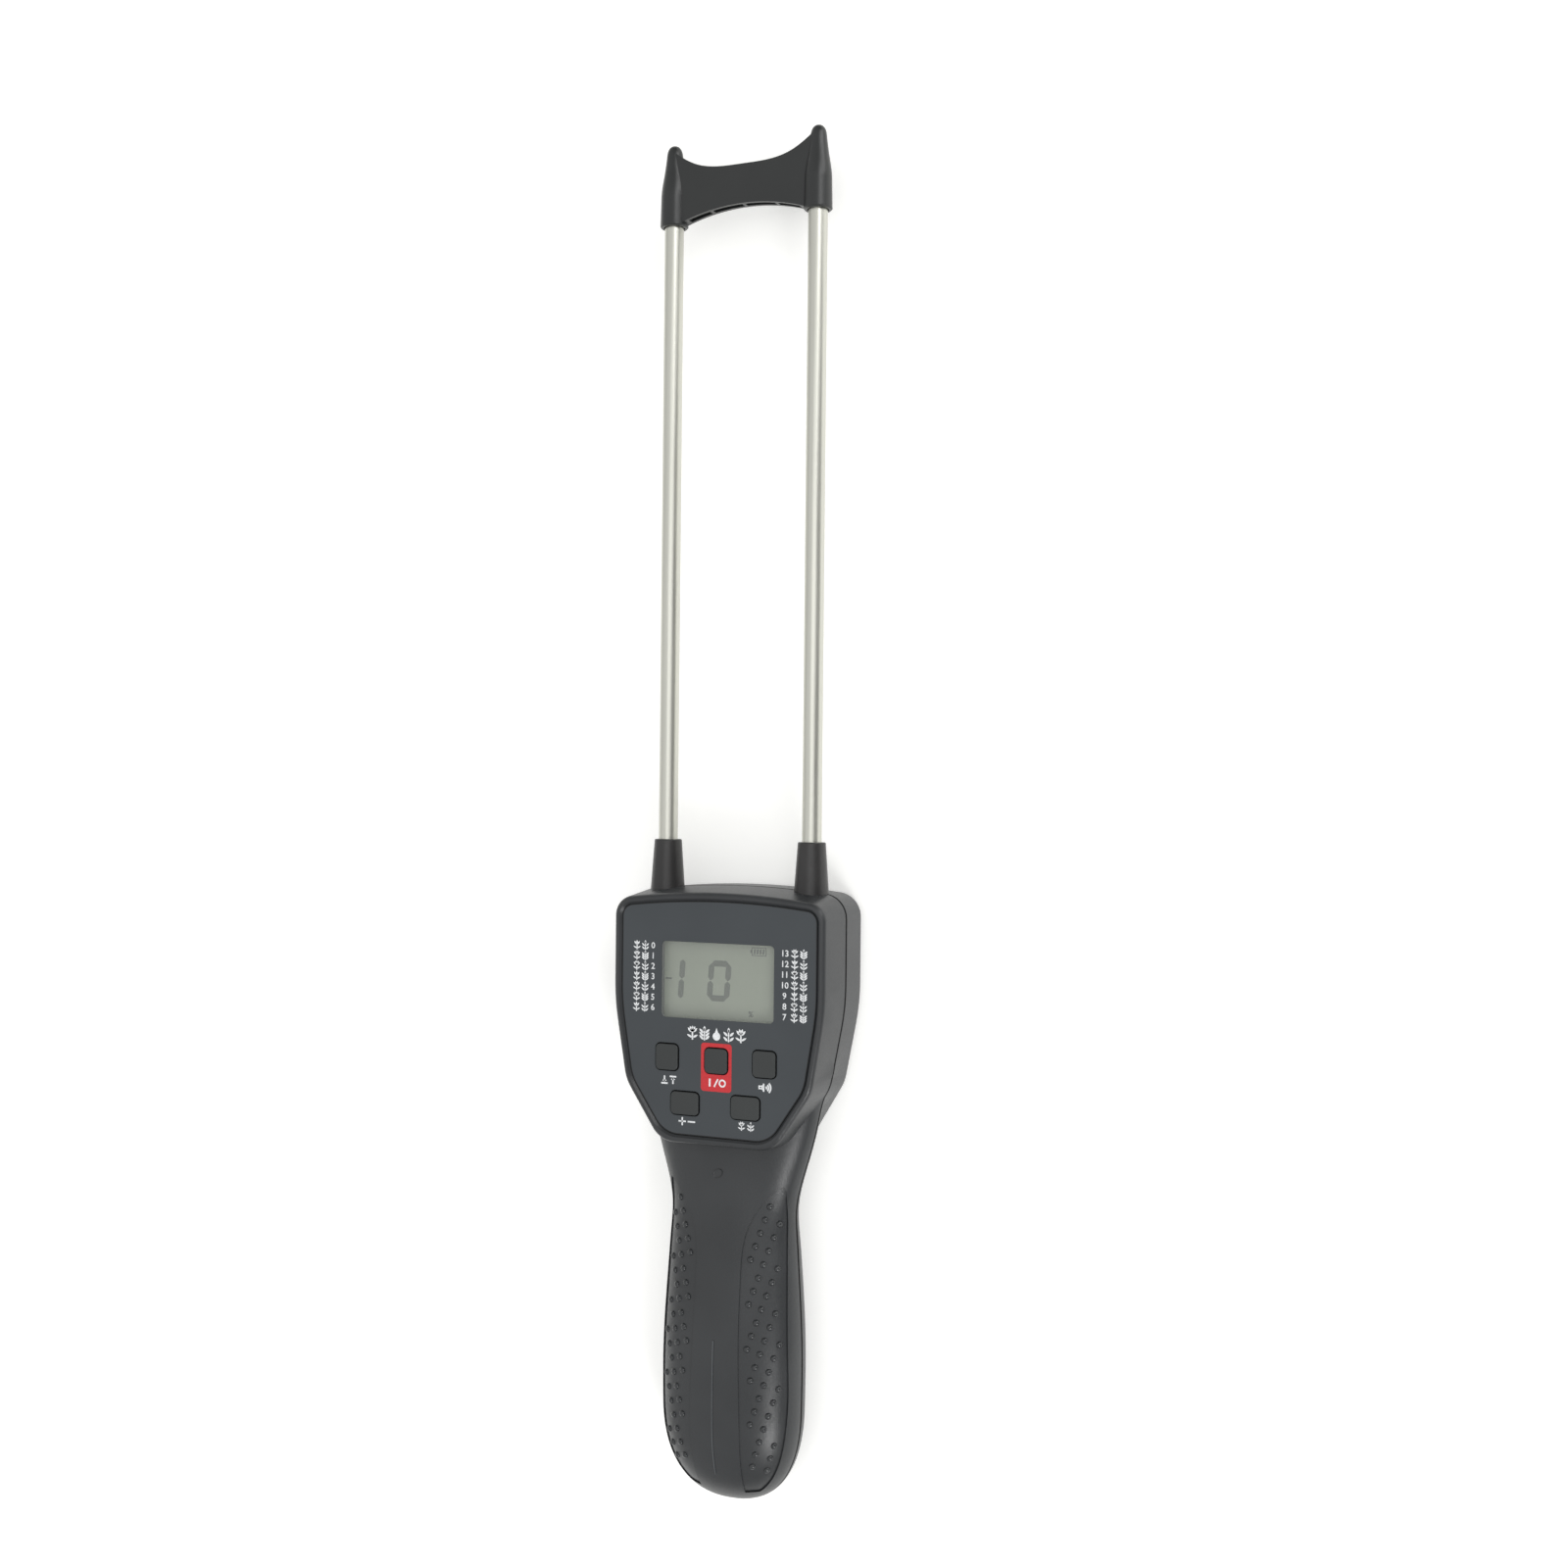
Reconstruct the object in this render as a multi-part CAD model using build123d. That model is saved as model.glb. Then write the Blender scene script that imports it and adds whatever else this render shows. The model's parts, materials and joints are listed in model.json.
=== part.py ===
from build123d import *
from math import copysign, cos, pi, sin
import os

# Twin-rod grain moisture meter, lying on its back.
# X runs across the display, Y along the meter towards the tips of the rods,
# Z up out of the display. The table is z = 0. All sizes in millimetres.

# ---- whole meter ----
butt_y = -210.0              # lowest point of the handle
tip_y = 210.0                # tips of the probe cap
body_depth = 30.0            # back of the head to the crown of its rim
parting_z = 15.0             # plane where the two shells meet
wall = 2.2                   # moulded wall of both shells
seam_gap = 0.3               # shadow line between the two shells
slip = 0.05                  # clearance between fixed pieces that fit together
free_gap = 0.3               # clearance beside pieces that move

# ---- head ----
head_half_width = 36.0
head_top_y = -21.3
rim_draft = 0.9              # the rim is this much narrower than the head, on each side
panel_inset = 3.5            # edge of the faceplate inside the head's side

# ---- probe ----
rod_radius = 3.0
rod_x = 24.45                # rod axes stand this far each side of the middle
rod_inner_y = head_top_y - 22.7
rod_outer_y = tip_y - 14.5
collar_length = 13.8         # part of the collar that shows
collar_wall = 1.25           # around the rod at the collar's thin end
collar_flange = 1.4          # held between the shells
cap_length = 25.8
cap_wall = 1.4               # of the sockets that hold the rods
web_thickness = 4.4

# ---- handle ----
section_power = 2.15         # exponent of the rounded handle section
butt_power = 2.4             # exponent of the rounded butt
butt_start_y = -178.0
butt_half_width = 22.9
butt_front = 14.3
butt_rear = 15.6
butt_drop = 2.5              # the end of the butt lies this far below the parting plane
zone_depth = 0.4             # of the sunk grip zones

# ---- display, keys, boards, from the rim down ----
face_drop = 0.6              # faceplate below the crown of the rim
face_thickness = 0.8
front_wall = 2.0             # under the faceplate
window_size = (37.4, 23.1)
window_y = -49.75
window_frame = 1.8           # flange of the window under the faceplate
glass_size = (window_size[0] + 3.1, window_size[1] + 3.4)
glass_thickness = 2.2
glass_gap = 0.1
strip_height = 2.9           # contact strips between board and glass
holder_wall = 1.15
board_thickness = 1.6
key_proud = 0.55             # keys above the faceplate
key_corner = 1.5             # radius of the corners of the keys
key_flange = 0.7
key_travel = 0.6
plunger_radius = 1.6
switch_size = 6.0
switch_height = 2.4
switch_floor = 0.5

# centre x, centre y, width, height
keys = {
    "key_power": (0.0, -73.6, 7.6, 7.6),
    "key_limit": (-16.6, -73.4, 7.6, 8.0),
    "key_voice": (15.9, -73.5, 7.6, 8.0),
    "key_adjust": (-10.4, -87.1, 9.5, 7.0),
    "key_crop": (9.8, -87.0, 9.5, 7.0),
}

# ---- batteries and their bay ----
cell_radius = 5.25
cell_length = 44.5           # nub included
cell_nub = 1.0
cell_gap = 0.3
spring_length = 3.5
spring_radius = 2.6
spring_wire = 0.3
contact_half = 4.0
contact_thickness = 0.4
bay_middle_y = -166.6
bay_middle_z = 13.7
tray_wall = 1.4
tray_low_z = 5.4
tray_high_z = 22.8
tray_ledge_z = 14.2
ledge_y = (-178.0, -152.0)
ledge_reach = 19.7
door_half_width = 15.0
door_start_y = -143.5
door_edge_z = 12.5
door_tab_z = 8.0
door_tab_length = 6.0
groove_count = 5             # thumb grooves on the door
groove_depth = 0.6

# ---- speaker ----
speaker_y = -66.0
speaker_radius = 13.5
cone_radius = 11.4
magnet_radius = 8.0
speaker_rim = 1.8
speaker_plate = 1.2
magnet_height = 4.0

# ---- screws: x, y ----
screw_spots = [(-29.6, -54.0), (29.6, -54.0), (0.0, head_top_y - 8.3), (-11.5, -108.0), (11.5, -108.0)]
screw_radius = 1.35
screw_head_radius = 2.6
screw_head_height = 2.0
screw_head_z = 5.0           # seat of the screw heads, deep in the back
screw_tip_z = 21.0
board_screw_spots = [(-23.9, -68.0), (23.9, -68.0), (-23.9, -48.5), (23.9, -48.5)]
board_screw_radius = 1.0
board_screw_head = 1.9
board_screw_length = 5.2
clamp_half_width = 7.6
clamp_screw_shift = 5.4      # clamp screws stand this far each side of a rod
clamp_y = (head_top_y - 18.7, head_top_y - 8.7)
clamp_top_z = 19.2

# ---- worked out from the sizes above ----
face_z = body_depth - face_drop
pocket_z = face_z - face_thickness
shelf_z = pocket_z - front_wall
glass_z = shelf_z - glass_gap - glass_thickness
board_top = glass_z - strip_height
board_z = board_top - board_thickness
switch_top = board_top + switch_height
key_top_z = face_z + key_proud
key_bottom_z = switch_top + key_travel + free_gap
key_flange_top = shelf_z - free_gap
collar_top_y = head_top_y + collar_length
collar_tip_radius = rod_radius + collar_wall
collar_neck_radius = collar_tip_radius - slip
flange_y = (head_top_y - 5.7, head_top_y - 4.4)
cradle_y = (rod_inner_y + 3.0, flange_y[0] - 0.2)
cap_mouth_y = tip_y - cap_length
socket_radius = rod_radius + cap_wall
cell_pitch = 2 * cell_radius + cell_gap
bay_half_length = (spring_length + cell_length + contact_thickness) / 2
tray_half_width = cell_pitch / 2 + cell_radius + cell_gap + tray_wall


def corners_near(face, x, y):
    return [v for v in face.vertices() if abs(abs(v.X) - x) < 0.02 and abs(v.Y - y) < 0.02]


def shield(half_width, top, crown, waist, hip, foot, corner):
    """Head outline: arched top, upright sides, then two tapering stretches and a flat foot."""
    side_top = top - crown
    left = [(-half_width, waist), (-hip[0], hip[1]), (-foot[0], foot[1])]
    right = [(foot[0], foot[1]), (hip[0], hip[1]), (half_width, waist)]
    points = [(-half_width, side_top)] + left + right + [(half_width, side_top)]
    sides = [Line(a, b) for a, b in zip(points, points[1:])]
    arch = ThreePointArc(points[-1], (0, top), points[0])
    face = make_face(sides + [arch])
    face = fillet(corners_near(face, half_width, side_top), corner)
    face = fillet(corners_near(face, half_width, waist), 70)
    face = fillet(corners_near(face, hip[0], hip[1]), 14)
    return fillet(corners_near(face, foot[0], foot[1]), 9)


panel_half_width = head_half_width - panel_inset
rim_half_width = head_half_width - rim_draft
panel_outline = shield(panel_half_width, head_top_y - 4.3, 2.2, -57, (28.7, -80.2), (17.6, -96.7), 3.6)
rim_outline = shield(rim_half_width, head_top_y - 1.7, 2.7, -57, (31.0, -81.3), (18.9, -99.3), 6.0)
head_outline = shield(head_half_width, head_top_y, 2.6, -57, (31.3, -81.3), (20.0, -100.3), 7.5)
core_outline = shield(head_half_width - wall, head_top_y - wall, 2.5, -57, (29.4, -80.6), (19.0, -98.1), 5.5)


def oval(y, half_width, front, rear, drop=0.0):
    """Closed, rounded handle section across the meter at one station."""
    count = 28
    points = []
    for i in range(count):
        turn = 2 * pi * i / count - pi / 2
        c = 0.0 if abs(cos(turn)) < 1e-9 else cos(turn)
        s = 0.0 if abs(sin(turn)) < 1e-9 else sin(turn)
        depth = front if s > 0 else rear
        x = half_width * copysign(abs(c) ** (2 / section_power), c)
        z = parting_z - drop + depth * copysign(abs(s) ** (2 / section_power), s)
        points.append((x, y, z))
    return Face(Wire([Spline(*points, periodic=True)]))


# y, half width, depth in front of the parting plane, depth behind it
handle_stations = [
    (-70, 31.5, 10.2, 9.6),
    (-84, 29.6, 10.4, 9.8),
    (-94, 27.1, 10.6, 10.0),
    (-103, 24.7, 10.7, 10.2),
    (-112, 22.0, 10.7, 10.6),
    (-119, 20.7, 10.9, 11.2),
    (-128, 21.0, 11.5, 12.8),
    (-140, 21.8, 12.5, 14.9),
    (-153, 22.6, 13.6, 15.6),
    (-168, 23.0, 14.3, 15.7),
    (butt_start_y, butt_half_width, butt_front, butt_rear),
]


def handle(inset):
    """Handle and neck as one loft; inset moves its skin inwards by that much."""
    sections = [oval(y, a - inset, f - inset, r - inset) for y, a, f, r in handle_stations]
    steps = 8
    last = sin(pi / 2 * 0.975)
    reach = butt_start_y - butt_y - inset
    for i in range(1, steps + 1):
        share = sin(pi / 2 * (0.975 if i == steps else i / (steps + 1))) / last
        size = (1 - (share * last) ** butt_power) ** (1 / butt_power)
        y = butt_start_y - reach * share
        a, f, r = butt_half_width - inset, butt_front - inset, butt_rear - inset
        sections.append(oval(y, a * size, f * size, r * size, butt_drop * share ** 3))
    return loft(sections)


def slab(x0, x1, y0, y1, z0, z1):
    return Pos((x0 + x1) / 2, (y0 + y1) / 2, (z0 + z1) / 2) * Box(x1 - x0, y1 - y0, z1 - z0)


def rounded_block(x, y, z0, z1, width, height, corner):
    face = Pos(x, y, z0) * RectangleRounded(width, height, corner)
    return extrude(face, z1 - z0)


def post(x, y, z0, z1, radius):
    return Pos(x, y, (z0 + z1) / 2) * Cylinder(radius, z1 - z0)


def along_y(x, z, y0, y1, radius):
    return Pos(x, (y0 + y1) / 2, z) * Rot(90, 0, 0) * Cylinder(radius, y1 - y0)


def casing_solid():
    """Outside of the whole body, flat on the table."""
    front = loft([Pos(0, 0, parting_z) * head_outline, Pos(0, 0, body_depth) * rim_outline], ruled=True)
    front = fillet(front.faces().sort_by(Axis.Z)[-1].edges(), 1.5)
    rear = extrude(head_outline, parting_z)
    rear = fillet(rear.faces().sort_by(Axis.Z)[0].edges(), 3.8)
    body = front + rear + handle(0)
    return body - slab(-60, 60, -230, 20, -10, 0)


def grip_zone():
    """Plan of the sunk grip zone on the right of the handle."""
    inner = Spline((19.0, -111.5), (12.6, -117.4), (8.6, -125.5), (7.4, -138), (7.6, -160), (8.2, -185),
                   (7.4, -205))
    outer = Spline((11.6, -204.6), (16.0, -199.8), (19.4, -191.5), (21.0, -180), (20.9, -160), (20.0, -135),
                   (19.4, -113))
    ends = [Line((7.4, -205), (11.6, -204.6)), Line((19.4, -113), (19.0, -111.5))]
    return make_face([inner, outer] + ends)


def casing_hollow():
    """Inside of both shells together."""
    head = extrude(Pos(0, 0, wall) * core_outline, shelf_z - wall)
    edge = head.faces().sort_by(Axis.Z)[0].edges()
    return fillet(edge, 1.8) + handle(wall)


def sunk_zones():
    """Two shallow zones on the front of the handle, one for each side of the grip."""
    plan = grip_zone()
    sides = [extrude(Pos(0, 0, parting_z + 1.2) * face, 20) for face in (plan, mirror(plan, Plane.YZ))]
    return sides[0] + sides[1] - handle(zone_depth)


def pocket():
    """Recess for the faceplate, with its upper edge opened out."""
    straight = extrude(Pos(0, 0, pocket_z) * offset(panel_outline, 0.2), 1.0)
    low = Pos(0, 0, face_z - 0.1) * offset(panel_outline, 0.2)
    high = Pos(0, 0, body_depth + 0.1) * offset(panel_outline, 1.0)
    return straight + loft([low, high], ruled=True)


def key_hole(name, z0, z1):
    x, y, width, height = keys[name]
    wide, tall = width + 2 * free_gap, height + 2 * free_gap
    return rounded_block(x, y, z0, z1, wide, tall, key_corner + free_gap)


def window_block(grow, z0, z1):
    width, height = window_size
    return rounded_block(0, window_y, z0, z1, width + 2 * grow, height + 2 * grow, 1.4)


def collar_hole(x):
    return along_y(x, parting_z, flange_y[0] - 1, head_top_y + 6, collar_neck_radius + slip)


def front_shell(body, hollow):
    # bosses are left standing by keeping them out of the hollow
    room = hollow
    for x, y in screw_spots:
        room -= post(x, y, parting_z - 1, body_depth, 3.0)
    for x, y in board_screw_spots:
        room -= post(x, y, board_top, body_depth, 2.1)
    shell = split(body, Plane.XY.offset(parting_z + seam_gap / 2), keep=Keep.TOP) - room
    shell -= pocket()
    shell -= window_block(window_frame + slip, pocket_z - 1.0, pocket_z + 0.1)
    shell -= window_block(0.6, shelf_z - 0.1, pocket_z)
    for name in keys:
        shell -= key_hole(name, shelf_z - 0.1, pocket_z + 0.1)
    for x, y in screw_spots:
        shell += post(x, y, parting_z, parting_z + 1, 3.0)
        shell -= post(x, y, parting_z - 1, screw_tip_z + 0.8, screw_radius + slip)
    for x, y in board_screw_spots:
        shell -= post(x, y, board_top - 1, board_z + board_screw_length + 0.3, board_screw_radius + slip)
    for x in (-rod_x, rod_x):
        shell -= collar_hole(x)
    return shell


def rear_shell(body, hollow):
    # bosses, rod cradles, speaker ring and tray ledges stand inside the hollow
    room = hollow
    for x, y in screw_spots:
        room -= post(x, y, 0.5, parting_z + 1, 4.4)
    for x in (-rod_x, rod_x):
        room -= slab(x - clamp_half_width, x + clamp_half_width, cradle_y[0], cradle_y[1], 1.0, parting_z + 1)
    ring_top = wall + speaker_rim + speaker_plate + 0.8
    ring = post(0, speaker_y, 1.0, ring_top, speaker_radius + 1.3)
    room -= ring - post(0, speaker_y, 0, ring_top + 1, speaker_radius + slip)
    for side in (-1, 1):
        near, far = sorted((side * (ledge_reach - 2.2), side * (ledge_reach + 1.8)))
        room -= slab(near, far, ledge_y[0], ledge_y[1], tray_ledge_z - 4.2, tray_ledge_z)
    shell = split(body, Plane.XY.offset(parting_z - seam_gap / 2), keep=Keep.BOTTOM) - room
    shell -= speaker_slots()
    for x, y in screw_spots:
        shell += post(x, y, parting_z - 1, parting_z, 4.2)
        shell -= post(x, y, -1, screw_head_z, screw_head_radius + 0.3)
        shell -= post(x, y, 0, parting_z + 1, screw_radius + 0.15)
    for x in (-rod_x, rod_x):
        shell -= collar_hole(x)
        shell -= along_y(x, parting_z, cradle_y[0] - 1, cradle_y[1] + 0.2, rod_radius + slip)
        for shift in (-clamp_screw_shift, clamp_screw_shift):
            shell -= post(x + shift, sum(clamp_y) / 2, 7.5, parting_z + 1, board_screw_radius + slip)
    return shell - door_space(free_gap)


def speaker_slots():
    slots = Pos(0, speaker_y, -1) * SlotOverall(20, 1.8, rotation=90)
    solids = [extrude(slots, 5)]
    for shift, length in ((4.2, 18.5), (8.4, 13)):
        for side in (-1, 1):
            slot = Pos(side * shift, speaker_y, -1) * SlotOverall(length, 1.8, rotation=90)
            solids.append(extrude(slot, 5))
    return Part() + solids


def door_space(gap):
    reach = door_half_width + gap
    return slab(-reach, reach, butt_y - 10, door_start_y + gap, -5, door_edge_z + gap)


def battery_door(body, hollow):
    door = (body & door_space(0)) - hollow
    for side in (-1, 1):
        inner, outer, lip = [side * (door_half_width + shift) for shift in (-1.8, -0.3, 1.4)]
        for start in (door_start_y - 8.5, door_start_y - 25.5):
            end = start + door_tab_length
            door += slab(min(inner, outer), max(inner, outer), start, end, door_tab_z - 4.4, door_tab_z + 1.4)
            door += slab(min(inner, lip), max(inner, lip), start, end, door_tab_z, door_tab_z + 1.4)
    return door - thumb_grooves()


def thumb_grooves():
    """Short cross grooves that a thumb pushes against, set into the flat of the door."""
    grooves = []
    for i in range(groove_count):
        spot = Pos(0, door_start_y - 7.0 - 2.6 * i, -1.0)
        grooves.append(extrude(spot * SlotOverall(14.0 - 1.2 * i, 1.3), 1.0 + groove_depth))
    return Part() + grooves


def panel_overlay():
    plate = extrude(Pos(0, 0, pocket_z) * panel_outline, face_z - pocket_z)
    plate -= window_block(slip, pocket_z - 1, face_z + 1)
    for name in keys:
        plate -= key_hole(name, pocket_z - 1, face_z + 1)
    return plate


def display_window():
    flange = window_block(window_frame, pocket_z - 1.0, pocket_z)
    return flange + window_block(0, pocket_z - 0.5, face_z - 0.05)


def lcd_glass():
    return rounded_block(0, window_y, glass_z, glass_z + glass_thickness, glass_size[0], glass_size[1], 0.5)


def lcd_holder():
    width, height = glass_size
    top = glass_z + glass_thickness
    edge = 2 * holder_wall
    outer = rounded_block(0, window_y, board_top, top, width + edge, height + edge, 1.2)
    seat = rounded_block(0, window_y, board_top - 1, top + 1, width + 2 * slip, height + 2 * slip, 0.5)
    return outer - seat


def lcd_connectors():
    reach = glass_size[1] / 2 - 1.5
    strips = [slab(-17, 17, window_y + s * reach - 1.1, window_y + s * reach + 1.1, board_top, glass_z)
              for s in (-1, 1)]
    return Part() + strips


def main_board():
    points = [(-26, -34.5), (26, -34.5), (26, -72), (19, -92), (-19, -92), (-26, -72)]
    plan = make_face(Polyline(*points, close=True))
    board = extrude(Pos(0, 0, board_z) * plan, board_thickness)
    for x, y in board_screw_spots:
        board -= post(x, y, board_z - 1, board_top + 1, board_screw_radius + 0.1)
    return board


def controller_chip():
    chip = slab(-5, 5, -63, -53, board_z - 1.2, board_z)
    return chamfer(chip.faces().sort_by(Axis.Z)[0].edges(), 0.3)


def board_capacitors():
    return Part() + [post(x, -82, board_z - 5.4, board_z, 2.5) for x in (-11, -4)]


def tact_switches():
    solids = []
    for x, y, width, height in keys.values():
        switch = slab(x - switch_size / 2, x + switch_size / 2, y - switch_size / 2, y + switch_size / 2,
                      board_top, switch_top)
        switch = chamfer(switch.edges().filter_by(Axis.Z), 0.5)
        bore = post(x, y, board_top + switch_floor, switch_top + 1, plunger_radius + free_gap)
        solids.append(switch - bore)
    return Part() + solids


def key_cap(name):
    x, y, width, height = keys[name]
    cap = rounded_block(x, y, key_bottom_z, key_top_z, width, height, key_corner)
    cap = fillet(cap.faces().sort_by(Axis.Z)[-1].edges(), 0.35)
    wide, tall = width + 2 * key_flange, height + 2 * key_flange
    return cap + rounded_block(x, y, key_bottom_z, key_flange_top, wide, tall, key_corner + key_flange)


def plunger(name):
    x, y, width, height = keys[name]
    low = board_top + switch_floor + key_travel + free_gap
    return post(x, y, low, key_bottom_z, plunger_radius)


def speaker_frame():
    plate_z = wall + speaker_rim
    ring = post(0, speaker_y, wall, plate_z, speaker_radius)
    ring -= post(0, speaker_y, 0, plate_z, cone_radius + slip)
    plate = post(0, speaker_y, plate_z, plate_z + speaker_plate, speaker_radius)
    return ring + (plate - post(0, speaker_y, 0, body_depth, magnet_radius / 2))


def speaker_magnet():
    base = wall + speaker_rim + speaker_plate
    magnet = post(0, speaker_y, base, base + magnet_height, magnet_radius)
    return chamfer(magnet.edges().sort_by(Axis.Z)[-1], 0.5)


def speaker_cone():
    z = wall + speaker_rim / 3
    rim = post(0, speaker_y, z, z + 0.5, cone_radius)
    dome = Pos(0, speaker_y, z + 0.75) * Cone(0.4 * cone_radius, 0.28 * cone_radius, 0.5)
    return rim + dome


def rod(x):
    bar = along_y(x, parting_z, rod_inner_y, rod_outer_y, rod_radius)
    return chamfer(bar.edges().filter_by(GeomType.CIRCLE), 0.4)


def collar(x, body):
    """Tapered ferrule seated on the head, with a neck and flange held between the shells."""
    low_y = flange_y[1] + 0.7
    low_radius = collar_tip_radius + 0.07 * (collar_top_y - low_y)
    middle_y = (collar_top_y + low_y) / 2
    cone = Cone(low_radius, collar_tip_radius, collar_top_y - low_y)
    taper = Pos(x, middle_y, parting_z) * Rot(-90, 0, 0) * cone
    taper = fillet(taper.edges().sort_by(Axis.Y)[-1], 0.4)
    shape = taper - body
    shape += along_y(x, parting_z, flange_y[0], head_top_y + 6, collar_neck_radius)
    shape += along_y(x, parting_z, flange_y[0], flange_y[1], collar_neck_radius + collar_flange)
    return shape - along_y(x, parting_z, flange_y[0] - 3, collar_top_y + 5, rod_radius + 0.02)


def cap_point():
    """One pointed socket, turned about its rod."""
    mouth, end, outer = cap_mouth_y, tip_y, socket_radius
    shoulder = Spline((outer - 0.2, end - 16), (outer - 1.05, end - 9.5), (outer - 1.85, end - 3.4),
                      tangents=[(-0.04, 1), (-0.1, 1)])
    nose = Spline((outer - 1.85, end - 3.4), (outer - 2.65, end - 0.8), (0, end),
                  tangents=[(-0.1, 1), (-1, 0)])
    profile = [
        Line((0, mouth), (outer - 0.4, mouth)),
        Line((outer - 0.4, mouth), (outer, mouth + 0.4)),
        Line((outer, mouth + 0.4), (outer - 0.2, end - 16)),
        shoulder,
        nose,
        Line((0, end), (0, mouth)),
    ]
    return revolve(make_face(profile), Axis.Y)


def cap_web():
    """Web between the sockets: arched below, dished above, hollow but for three ribs."""
    half = rod_x - 2.2
    low = cap_mouth_y + 0.5
    crest = [(0, tip_y - 9.1), (0.33 * rod_x, tip_y - 8.95), (0.64 * rod_x, tip_y - 7.4),
             (0.88 * rod_x, tip_y - 4.1), (rod_x, tip_y - 1.8)]
    top = Spline(*[(-x, y) for x, y in reversed(crest)][:-1], *crest)
    edges = [
        Line(crest[-1], (rod_x, low)),
        Line((rod_x, low), (half, low)),
        ThreePointArc((half, low), (0, cap_mouth_y + 4.5), (-half, low)),
        Line((-half, low), (-rod_x, low)),
        Line((-rod_x, low), (-rod_x, crest[-1][1])),
    ]
    web = extrude(Pos(0, 0, parting_z - web_thickness / 2) * make_face([top] + edges), web_thickness)
    # the web tucks into the sockets, so it never shows past their points
    web &= slab(-rod_x, rod_x, cap_mouth_y - 5, tip_y - 2.5, 0, body_depth)
    reach = rod_x - socket_radius - 1.25
    inside = [(0, tip_y - 10.7), (0.43 * reach, tip_y - 10.5), (0.8 * reach, tip_y - 9.1),
              (reach, tip_y - 7.6)]
    roof = Spline(*[(-x, y) for x, y in reversed(inside)][:-1], *inside)
    below = cap_mouth_y - 5
    rim = [
        Line(inside[-1], (reach, below)),
        Line((reach, below), (-reach, below)),
        Line((-reach, below), (-reach, inside[-1][1])),
    ]
    hole = extrude(Pos(0, 0, parting_z - web_thickness / 4) * make_face([roof] + rim), web_thickness / 2)
    for x in (-0.45 * rod_x, 0, 0.45 * rod_x):
        hole -= slab(x - 0.5, x + 0.5, below, tip_y, 0, body_depth)
    return web - hole


def tip_cap():
    """Two pointed sockets joined by a hollow web, thinnest in the middle."""
    cap = cap_web()
    for x in (-rod_x, rod_x):
        cap += Pos(x, 0, parting_z) * cap_point()
    for x in (-rod_x, rod_x):
        cap -= along_y(x, parting_z, cap_mouth_y - 5, rod_outer_y + 0.5, rod_radius + 0.03)
        cap -= along_y(x, parting_z, cap_mouth_y - 5, cap_mouth_y + 0.8, rod_radius + 0.35)
    return cap


def clamp_screw_spots(x):
    return [(x + shift, sum(clamp_y) / 2) for shift in (-clamp_screw_shift, clamp_screw_shift)]


def rod_clamps():
    solids = []
    for x in (-rod_x, rod_x):
        bar = slab(x - clamp_half_width, x + clamp_half_width, clamp_y[0], clamp_y[1], parting_z, clamp_top_z)
        bar -= along_y(x, parting_z, clamp_y[0] - 20, clamp_y[1] + 20, rod_radius + slip)
        for screw_x, screw_y in clamp_screw_spots(x):
            bar -= post(screw_x, screw_y, 10, body_depth, board_screw_radius + slip)
            bar -= post(screw_x, screw_y, clamp_top_z - 1.3, body_depth, board_screw_head + slip)
        solids.append(bar)
    return Part() + solids


def clamp_screws():
    solids = []
    for x in (-rod_x, rod_x):
        for screw_x, screw_y in clamp_screw_spots(x):
            shank = post(screw_x, screw_y, 8, clamp_top_z - 1.2, board_screw_radius)
            head = post(screw_x, screw_y, clamp_top_z - 1.3, clamp_top_z - 0.1, board_screw_head)
            solids.append(shank + head)
    return Part() + solids


def rod_terminals():
    near, far = rod_inner_y + 0.6, rod_inner_y + 1.4
    solids = []
    for x in (-rod_x, rod_x):
        tag = slab(x - 1.5, x + 1.5, near, far, parting_z, board_z)
        ring = along_y(x, parting_z, near, far, rod_radius + 1.5)
        solids.append(tag + ring - along_y(x, parting_z, near - 5, far + 5, rod_radius + 0.02))
    return Part() + solids


def case_screws():
    reach = screw_head_radius - 1.0
    slot_top = screw_head_z - 0.9
    solids = []
    for x, y in screw_spots:
        head = post(x, y, screw_head_z - screw_head_height, screw_head_z, screw_head_radius)
        head = fillet(head.edges().sort_by(Axis.Z)[0], 0.6)
        head -= slab(x - reach, x + reach, y - 0.35, y + 0.35, 0, slot_top)
        head -= slab(x - 0.35, x + 0.35, y - reach, y + reach, 0, slot_top)
        solids.append(head + post(x, y, screw_head_z, screw_tip_z, screw_radius))
    return Part() + solids


def board_screws():
    solids = []
    for x, y in board_screw_spots:
        head = post(x, y, board_z - 1.4, board_z, board_screw_head)
        solids.append(head + post(x, y, board_z - 0.5, board_z + board_screw_length, board_screw_radius))
    return Part() + solids


def cell_places():
    """Four cells, two by two, each pointing opposite to its neighbours."""
    half = cell_pitch / 2
    return [(side * half, bay_middle_z + row * half, -side * row) for row in (-1, 1) for side in (-1, 1)]


def battery(x, z, facing):
    flat = bay_middle_y - facing * (bay_half_length - spring_length)
    shoulder = flat + facing * (cell_length - cell_nub)
    tip = flat + facing * cell_length
    can = along_y(x, z, min(flat, shoulder), max(flat, shoulder), cell_radius)
    can = chamfer(can.edges().filter_by(GeomType.CIRCLE), 0.4)
    return can + along_y(x, z, min(shoulder, tip), max(shoulder, tip), 1.9)


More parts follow.
